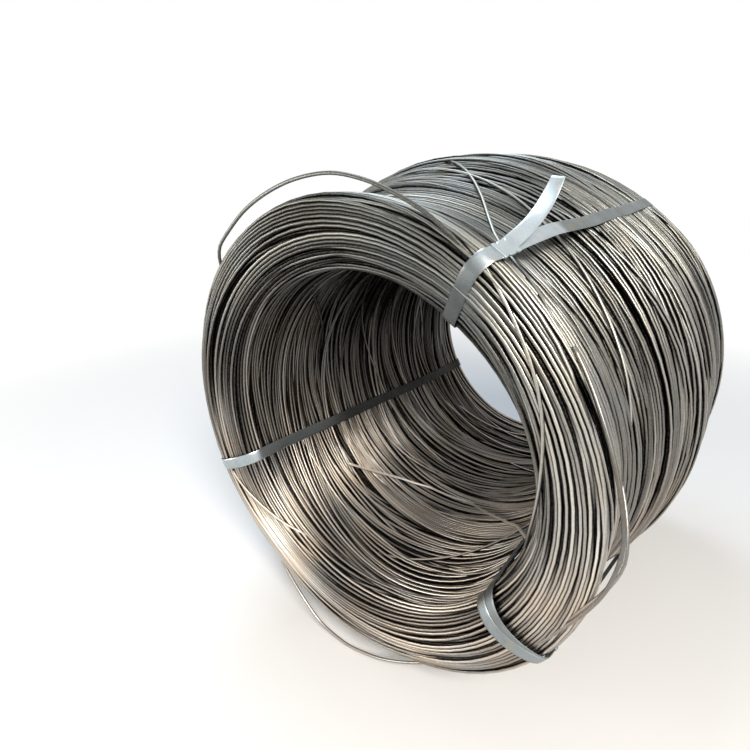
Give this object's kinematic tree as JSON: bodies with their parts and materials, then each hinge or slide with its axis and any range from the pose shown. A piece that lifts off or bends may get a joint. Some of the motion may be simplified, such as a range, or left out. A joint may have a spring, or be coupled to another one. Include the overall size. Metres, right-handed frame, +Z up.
{
  "type": "coil of wire rod",
  "caption": "Coil of hot-rolled steel wire rod lying on its side, held by flat steel straps with crimped seals, with an open bore for a mandrel or C-hook.",
  "frame": {"origin": "on the floor, under the middle of the coil", "axes": "+Z up; +Y along the coil's axis, from the end that faces the camera to the far end; +X to the right seen from the near end"},
  "size_m": [1.3318, 1.2538, 1.3318],
  "materials": {
    "rod_steel": "hot-rolled steel with thin mill scale, half matt",
    "strap_steel": "galvanised steel strap, satin"
  },
  "bodies": {
    "root": {"wire_coil": "rod_steel", "strap_upper": "strap_steel", "strap_lower": "strap_steel", "strap_left": "strap_steel", "seal_upper": "strap_steel", "seal_lower": "strap_steel", "seal_left": "strap_steel"}
  },
  "joints": []
}
